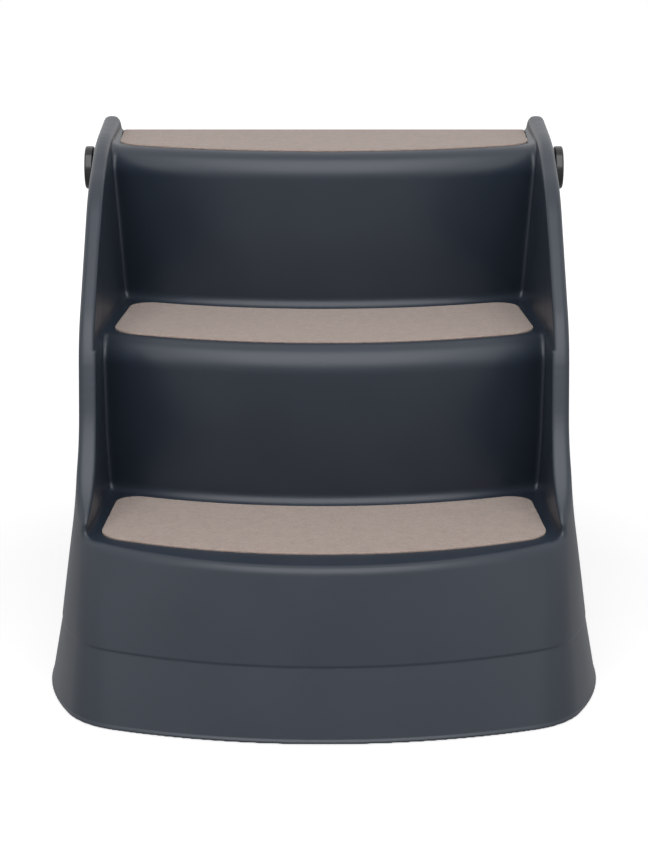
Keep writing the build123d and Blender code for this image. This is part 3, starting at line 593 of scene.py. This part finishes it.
class ShellForm:
    """Distance field of the moulded shell's right half, one level after another."""

    def __init__(self, sizes, x, y, z):
        self.x, self.y, self.z = x[:, None], y[None, :], z
        self.front = cad_box[0].y * MM
        self.base_half = cad_box[1].x * MM
        self.rim_half = self.base_half - SKIRT_FLARE
        self.wall_half = self.rim_half - WALL_STEP_IN
        self.rail_round, self.rim_round = sizes.rail_round * MM, sizes.rim_round * MM
        self.corner_fillet, self.foot_blend = sizes.corner_fillet * MM, sizes.foot_blend * MM
        self.riser_fillet = sizes.riser_fillet * MM
        _, self.hinge_y, self.hinge_z = middle_of("hinge_knob_right")
        self.feet = [middle_of(f"foot_{place}_right")[:2] for place in ("front", "side")]
        self.rail_side = self.side_field(BELOW, cutaway=False)
        self.whole_side = self.side_field(FLOOR_GAP)
        self.open_side = self.side_field(BELOW)
        self.pads = []
        for level, place in enumerate(PADS, 1):
            loop = [(p.x * MM, p.y * MM) for p in outline_of(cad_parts[f"tread_pad_{place}"])]
            self.pads.append((level * RISE, distance_to_loop(self.x, self.y, loop) - RECESS_GAP))

    def side_field(self, floor, cutaway=True):
        """Side view of the shell down to a height: the rail line, mostly with the lobe and the cutaway."""
        line = [(self.front - BEFORE, RISE)] + [(self.front + run, height) for run, height in RAIL_LINE]
        rounds = [0, *RAIL_ROUNDS]
        if cutaway:
            line += [
                (self.front + RAIL_REAR, LOBE_BOTTOM),
                (self.front + LOBE_FRONT, LOBE_BOTTOM),
                (self.front + CUTAWAY_FLOOR + CUTAWAY_SLOPE * floor, floor)]
            rounds += [*LOBE_ROUNDS, 0]
        else:
            line.append((self.front + RAIL_REAR, floor))
            rounds.append(0)
        line.append((self.front - BEFORE, floor))
        rounds.append(0)
        return distance_to_loop(self.y.T, self.z[None, :], rounded_loop(line, rounds))

    def plan(self, height):
        """Outer face of skirt and walls at a height, with the band and the lip of the skirt."""
        base_half, base_front = self.base_half - LIP - BAND, self.front + LIP + BAND
        rim_front = self.front + RIM_SETBACK
        if height > RISE:
            # Above the rim the walls step in along an arc that starts with the skirt's own lean
            lean = atan2(base_half - self.rim_half, RISE)
            blend = WALL_STEP_IN / (1 - cos(lean))
            turn = asin(max(0.0, sin(lean) - (height - RISE) / blend))
            half = self.wall_half + blend * (1 - cos(turn))
            return plan_form(self.x, self.y, half, rim_front, RIM_RADII)
        share = height / RISE
        half, front = mix(base_half, self.rim_half, share), mix(base_front, rim_front, share)
        radii = [mix(a, b, share) for a, b in zip(BASE_RADII, RIM_RADII)]
        # The band starts a little inside the skirt above it and flares out to the lip
        trim = 0.0
        if height < BAND_HEIGHT:
            trim = (BAND + BAND_LEDGE) * min(1.0, 1 - height / BAND_HEIGHT) - BAND_LEDGE
        trim += LIP * (height < LIP_HEIGHT)
        return plan_form(self.x, self.y, half, front, radii) - trim

    def steps(self, height):
        """Treads and risers with their nosings and hollow feet."""
        form = height - RISE + 0 * (self.x + self.y)
        lean = atan2(RAKE, RISE)
        for level, run in enumerate(NOSING_RUNS, 1):
            centre = self.front + run + NOSING_PLAN
            reach = NOSING_PLAN - RAKE * (1 - (height - RISE * level) / RISE)
            riser = (np.hypot(self.x, self.y - centre) - reach) * cos(lean)
            step = cut(riser, height - RISE * (level + 1), NOSING)
            form = join(form, step, self.riser_fillet)
        return form

    def wall_space(self, height):
        """How far a point is from the inner face of the side wall, positive between the walls."""
        level = min(3, max(1, int(height // RISE)))
        runs, at_tread, above = (LOWER_WALLS, MIDDLE_WALLS, UPPER_WALLS)[level - 1]
        share = clamped((height - RISE * level) / (FOOT_FLARE if level == 1 else RISE))
        halves = [mix(a, b, share) for a, b in zip(at_tread, above)]
        half = np.interp(self.y[0], [self.front + run for run in runs], halves)
        return half[None, :] - self.x

    def outside(self, k):
        """Whole outer form at a level, without floor and cutaway."""
        height = float(self.z[k])
        crown = clamped((height - CROWN_START) / CROWN_FADE)
        inner = mix(self.rail_round, RAIL_WIDTH / 2, crown)
        outer = mix(self.rim_round, RAIL_WIDTH / 2, crown)
        walls = cut(self.wall_space(height), self.rail_side[None, :, k], inner)
        low = clamped((FILLET_TOP - height) / FILLET_FADE)
        front = np.clip((self.front + FILLET_RUN - self.y) / FILLET_FADE, 0, 1)
        fillet = self.corner_fillet + (self.foot_blend - self.corner_fillet) * low * front
        return cut(join(self.steps(height), walls, fillet), self.plan(height), outer)

    def openings(self, height):
        """Spaces open to the rear: between the flanges along the cutaway, and between the lobes."""
        cutaway = self.front + CUTAWAY_FLOOR + CUTAWAY_SLOPE * height - WALL * hypot(1, CUTAWAY_SLOPE)
        behind = np.maximum(cutaway - self.y, height - LOBE_BOTTOM - WALL - FLOOR_GAP)
        behind = np.maximum(behind, self.x - (self.wall_half - WALL - FLANGE))
        rear = np.maximum(
            self.front + RAIL_REAR - REAR_OPENING_DEPTH - self.y, height - REAR_OPENING_TOP)
        rear = np.maximum(np.maximum(rear, LOBE_BOTTOM - height), self.x - REAR_OPENING)
        return np.minimum(behind, rear)

    def ribs(self, height, skin):
        """Ribs under the treads, which also run on into the hollow behind the risers."""
        columns = [abs(self.x - column * RIB_SPACING) for column in range(RIB_COUNT + 1)]
        half = (WALL + RIB_DEPTH) / 2
        below = min(abs(height - RISE * (level + 1) + half) for level in range(3))
        ribs = np.maximum(np.minimum.reduce(columns) - RIB_THICKNESS / 2, below - half)
        return np.maximum(ribs, skin + WALL / 2)

    def stops(self, height):
        """Blocks that the legs of the rear support lean on."""
        middle, half = (STOP_LOW + STOP_HIGH) / 2, (STOP_HIGH - STOP_LOW) / 2
        leg = self.hinge_y + LEG_REACH + LEG_SLOPE * (self.hinge_z - height)
        block = np.maximum(abs(self.x - STOP) - STOP_WIDTH / 2, abs(height - middle) - half)
        return np.maximum(block, leg - self.y)

    def bosses(self, height):
        """Hinge boss and foot bosses."""
        around = np.hypot(self.y - self.hinge_y, height - self.hinge_z)
        start = self.wall_half - BOSS_DEPTH
        span = np.maximum(start - self.x, self.x - self.wall_half + BOSS_INSET)
        form = np.maximum(around - BOSS, span)
        for x, y in self.feet:
            off = np.hypot(self.x - x, self.y - y)
            form = np.minimum(form, np.maximum(off - FOOT_BOSS, height - FOOT_BOSS_TOP))
        return form

    def holes(self, height):
        """Bore of the hinge, and recess and stem hole of each foot."""
        around = np.hypot(self.y - self.hinge_y, height - self.hinge_z)
        start = self.wall_half - BOSS_DEPTH
        form = np.maximum(around - BORE, start - BORE_PAST - self.x)
        for x, y in self.feet:
            off = np.hypot(self.x - x, self.y - y)
            form = np.minimum(form, np.maximum(off - FOOT_RECESS, height - FOOT_RECESS_TOP))
            form = np.minimum(form, np.maximum(off - FOOT_HOLE, height - FOOT_HOLE_TOP))
        return form

    def at_level(self, k):
        """The shell at a level, then its outer and its inner form alone, which the shading needs."""
        height = float(self.z[k])
        outside = self.outside(k)
        whole = cut(outside, self.whole_side[None, :, k], CUT_ROUND)
        skin = np.maximum(outside, self.open_side[None, :, k])
        hollow = skin + WALL
        form = np.maximum(whole, -np.minimum(hollow, self.openings(height)))
        form = np.minimum(form, self.ribs(height, skin))
        form = np.minimum(form, np.maximum(self.stops(height), whole))
        form = np.minimum(form, np.maximum(self.bosses(height), whole))
        form = np.maximum(form, -self.holes(height))
        for tread, pad in self.pads:
            if abs(height - tread) < 2 * RECESS:
                form = np.maximum(form, -np.maximum(pad, tread - RECESS - height))
        return form, whole, -hollow


def read_grid(values, points):
    """Values of a grid at points between its nodes."""
    # The last node has none behind it, so points stay just short of it
    place = np.clip(points, 0, np.array(values.shape) - 1.001)
    corner = place.astype(int)
    share = place - corner
    total = np.zeros(len(points))
    for side in np.ndindex(2, 2, 2):
        weight = np.prod(np.where(side, share, 1 - share), axis=1)
        total += weight * values[tuple((corner + side).T)]
    return total


def slope_at(values, axes, points):
    """Direction in which a distance field grows, at points between its nodes."""
    slopes = np.stack([read_grid(slope, points) for slope in np.gradient(values, *axes)], axis=1)
    return slopes / np.maximum(np.linalg.norm(slopes, axis=1), 1e-9)[:, None]


def shell_levels(low, high, step):
    """Heights at which the shell is drawn, closer together at the lip, the band and the treads."""
    edges = (FLOOR_GAP, LIP_HEIGHT, BAND_HEIGHT, RISE, 2 * RISE, 3 * RISE)
    reach, closer = 1.5 * step, 0.4 * step
    levels = [low]
    while levels[-1] < high:
        near = min(abs(levels[-1] - edge) for edge in edges) < reach
        levels.append(levels[-1] + (closer if near else step))
    return np.array(levels)


def shell_mesh(sizes):
    """Mesh of the moulded shell, drawn round its distance field."""
    step = sizes.shell_grid * MM
    margin, on_face = 3 * step, 0.15 * step
    high = [corner * MM + margin for corner in cad_box[1]]
    x = np.arange(0, high[0], step)
    y = np.arange(cad_box[0].y * MM - margin, high[1], step)
    z = shell_levels(-margin, high[2], step)
    form = ShellForm(sizes, x, y, z)
    levels = [form.at_level(k) for k in range(len(z))]
    # Each field is worked out for the right half and mirrored
    fields = []
    for half in zip(*levels):
        half = np.clip(np.stack(half, axis=2), -margin, margin).astype(np.float32)
        fields.append(np.concatenate([half[:0:-1], half]))
    field, whole, inside = fields
    grid = openvdb.FloatGrid(margin)
    grid.copyFromArray(field)
    points, triangles, quads = grid.convertToPolygons(0.0)
    axes = (np.concatenate([-x[:0:-1], x]), y, z)
    spots = np.stack([np.interp(p, np.arange(len(a)), a) for p, a in zip(points.T, axes)], axis=1) / MM
    mesh = bpy.data.meshes.new("moulded_shell")
    mesh.from_pydata(spots, [], [tuple(face) for faces in (triangles, quads) for face in faces])
    mesh.shade_smooth()
    # The wall is hardly thicker than the grid, so its faces take their direction from the form of each side
    normals = slope_at(field, axes, points)
    for face in (inside, whole):
        near = abs(read_grid(face, points)) < on_face
        normals[near] = slope_at(face, axes, points[near])
    mesh.normals_split_custom_set_from_vertices(normals)
    return mesh


class STAIRS_OT_shell(bpy.types.Operator):
    """Draw the moulded shell with its soft edges, and finish it and the rear support"""

    bl_idname = "stairs.shell"
    bl_label = "Shell and support"

    def execute(self, context):
        plastic = moulded_polypropylene(context.scene.stairs_look)
        shell = bpy.data.objects.new("moulded_shell", shell_mesh(context.scene.stairs_sizes))
        context.scene.collection.objects.link(shell)
        shell.data.materials.append(plastic)
        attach(shell, "stairs")
        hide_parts("stair_shell")
        dress(["stair_shell", "rear_support"], plastic)
        return {"FINISHED"}


class STAIRS_OT_pads(bpy.types.Operator):
    """Lay the felt pads in their recesses, on their tape"""

    bl_idname = "stairs.pads"
    bl_label = "Felt pads"

    def execute(self, context):
        look = context.scene.stairs_look
        felt = needled_felt(look)
        for place in PADS:
            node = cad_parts[f"tread_pad_{place}"]
            pad = felt_pad(f"felt_pad_{place}", node, context.scene.stairs_sizes)
            pad.data.materials.append(felt)
            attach(pad, "stairs")
            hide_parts(node.name)
        dress([f"pad_tape_{place}" for place in PADS], adhesive_tape(look))
        return {"FINISHED"}


class STAIRS_OT_hinges(bpy.types.Operator):
    """Finish the hinge knobs, bushes, washers and screws"""

    bl_idname = "stairs.hinges"
    bl_label = "Hinges"

    def execute(self, context):
        look = context.scene.stairs_look
        dress([f"hinge_knob_{side}" for side in SIDES], polished_abs(look))
        nylon = [f"{piece}_{side}" for side in SIDES for piece in ("hinge_bush", "thrust_washer")]
        dress(nylon, cast_nylon(look))
        steel = [f"{piece}_{side}" for side in SIDES for piece in ("hinge_screw", "screw_washer")]
        dress(steel, zinc_plated_steel(look))
        return {"FINISHED"}


class STAIRS_OT_feet(bpy.types.Operator):
    """Finish the rubber feet"""

    bl_idname = "stairs.feet"
    bl_label = "Rubber feet"

    def execute(self, context):
        feet = [f"foot_{place}" for place in FEET] + [f"support_foot_{side}" for side in SIDES]
        dress(feet, moulded_rubber(context.scene.stairs_look))
        return {"FINISHED"}


# Softboxes: place, target and size in metres, and power in watts
LAMPS = {
    "top lamp": ((0, -1.9, 2.2), (0, -0.3, 0.2), (3.2, 3.6), 84),
    "left lamp": ((-2.6, -2.2, 1.5), (0, 0, 0.25), (1.4, 2.0), 6),
    "right lamp": ((2.6, -2.2, 1.5), (0, 0, 0.25), (1.4, 2.0), 6),
}
# Share of their glow that floor and room show in reflections, and the room's light on the stairs
FLOOR_IN_GLOSS, ROOM_IN_GLOSS, ROOM_LIGHT = 0.3, 1.0, 0.32
# Glow of the floor: distance from its middle in metres, and strength
GLOW_NEAR, GLOW_FAR = (0.4, 0.74), (1.6, 1.0)
SENSOR_WIDTH = 36.0


def softbox(name, place, target, size, power):
    """Large soft lamp at a place, turned to a target."""
    lamp = bpy.data.lights.new(name, "AREA")
    lamp.shape = "RECTANGLE"
    lamp.size, lamp.size_y = size
    lamp.energy = power
    holder = bpy.data.objects.new(name, lamp)
    bpy.context.scene.collection.objects.link(holder)
    holder.location = place
    holder.rotation_euler = (Vector(target) - Vector(place)).to_track_quat("-Z", "Y").to_euler()


class STAIRS_OT_stage(bpy.types.Operator):
    """Set the pale floor, the lamps and the camera"""

    bl_idname = "stairs.stage"
    bl_label = "Stage"

    def execute(self, context):
        scene, sizes = context.scene, context.scene.stairs_sizes
        half = sizes.floor_size / 2
        mesh = bpy.data.meshes.new("floor")
        corners = [(-half, -half, 0), (half, -half, 0), (half, half, 0), (-half, half, 0)]
        mesh.from_pydata(corners, [], [(0, 1, 2, 3)])
        floor = bpy.data.objects.new("floor", mesh)
        scene.collection.objects.link(floor)
        mesh.materials.append(paper_floor(scene.stairs_look))
        pale_room(scene)
        for name, (place, target, size, power) in LAMPS.items():
            softbox(name, place, target, size, power)
        camera = bpy.data.cameras.new("camera")
        camera.lens = sizes.camera_lens
        camera.sensor_width = SENSOR_WIDTH
        holder = bpy.data.objects.new("camera", camera)
        scene.collection.objects.link(holder)
        holder.location = (0, -sizes.camera_distance, sizes.camera_height)
        holder.rotation_euler = (pi / 2 - sizes.camera_dip, 0, 0)
        scene.camera = holder
        scene.view_settings.view_transform = "Standard"
        return {"FINISHED"}


def shown_share(tree, in_gloss):
    """Share of a backdrop's glow that a ray meets: all of it for the camera, also through glass."""
    path = add_node(tree, "ShaderNodeLightPath")
    clear = add_node(tree, "ShaderNodeMath", {
        0: path.outputs["Is Camera Ray"], 1: path.outputs["Is Transmission Ray"]}, operation="ADD")
    shown = add_node(tree, "ShaderNodeMath", {
        0: path.outputs["Is Glossy Ray"], 1: in_gloss, 2: clear.outputs["Value"]},
        operation="MULTIPLY_ADD")
    return shown.outputs["Value"]


def paper_floor(look):
    """Matt paper: nearly white to the camera, with the stairs' own soft shadow on it."""
    material, tree, shader = new_material("matt paper")
    shown = shown_share(tree, FLOOR_IN_GLOSS)
    # The lamps reach less of the paper far from the stairs, so it glows more there and stays white
    place = add_node(tree, "ShaderNodeTexCoord").outputs["Object"]
    far = add_node(tree, "ShaderNodeVectorMath", {0: place}, operation="LENGTH")
    level = add_node(tree, "ShaderNodeMapRange", {
        "Value": far.outputs["Value"], "From Min": GLOW_NEAR[0], "From Max": GLOW_FAR[0],
        "To Min": GLOW_NEAR[1], "To Max": GLOW_FAR[1]})
    glow = add_node(tree, "ShaderNodeMath", {0: shown, 1: level.outputs["Result"]}, operation="MULTIPLY")
    set_shader(shader, Base_Color=linear(hex_of(look.floor)), Roughness=0.9, Specular_IOR_Level=0.0,
               Emission_Color=(1, 1, 1, 1))
    tree.links.new(glow.outputs["Value"], shader.inputs["Emission Strength"])
    return material


def pale_room(scene):
    """Even pale room light, and plain white where the camera looks past the floor."""
    world = bpy.data.worlds.new("room")
    scene.world = world
    world.use_nodes = True
    tree = world.node_tree
    ground = tree.nodes["Background"]
    strength = add_node(tree, "ShaderNodeMapRange", {
        "Value": shown_share(tree, ROOM_IN_GLOSS), "To Min": ROOM_LIGHT, "To Max": 1.0})
    ground.inputs["Color"].default_value = (1, 1, 1, 1)
    tree.links.new(strength.outputs["Result"], ground.inputs["Strength"])


class STAIRS_PT_panel(bpy.types.Panel):
    """Lists the pieces of the stairs with their sizes and colours"""

    bl_idname = "STAIRS_PT_panel"
    bl_label = "Pet stairs"
    bl_space_type = "VIEW_3D"
    bl_region_type = "UI"
    bl_category = "Pet stairs"

    def draw(self, context):
        layout = self.layout
        for operator in OPERATORS:
            layout.operator(operator.bl_idname)
        for group in (context.scene.stairs_sizes, context.scene.stairs_look):
            box = layout.box()
            for key in group.__annotations__:
                box.prop(group, key)


OPERATORS = (STAIRS_OT_shell, STAIRS_OT_pads, STAIRS_OT_hinges, STAIRS_OT_feet, STAIRS_OT_stage)
CLASSES = (StairsLook, StairsSizes, *OPERATORS, STAIRS_PT_panel)


def register():
    for cls in CLASSES:
        bpy.utils.register_class(cls)
    bpy.types.Scene.stairs_look = bpy.props.PointerProperty(type=StairsLook)
    bpy.types.Scene.stairs_sizes = bpy.props.PointerProperty(type=StairsSizes)


def unregister():
    del bpy.types.Scene.stairs_sizes
    del bpy.types.Scene.stairs_look
    for cls in reversed(CLASSES):
        bpy.utils.unregister_class(cls)


def main():
    """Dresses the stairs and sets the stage."""
    register()
    bpy.ops.stairs.shell()
    bpy.ops.stairs.pads()
    bpy.ops.stairs.hinges()
    bpy.ops.stairs.feet()
    bpy.ops.stairs.stage()


if __name__ == "__main__":
    main()
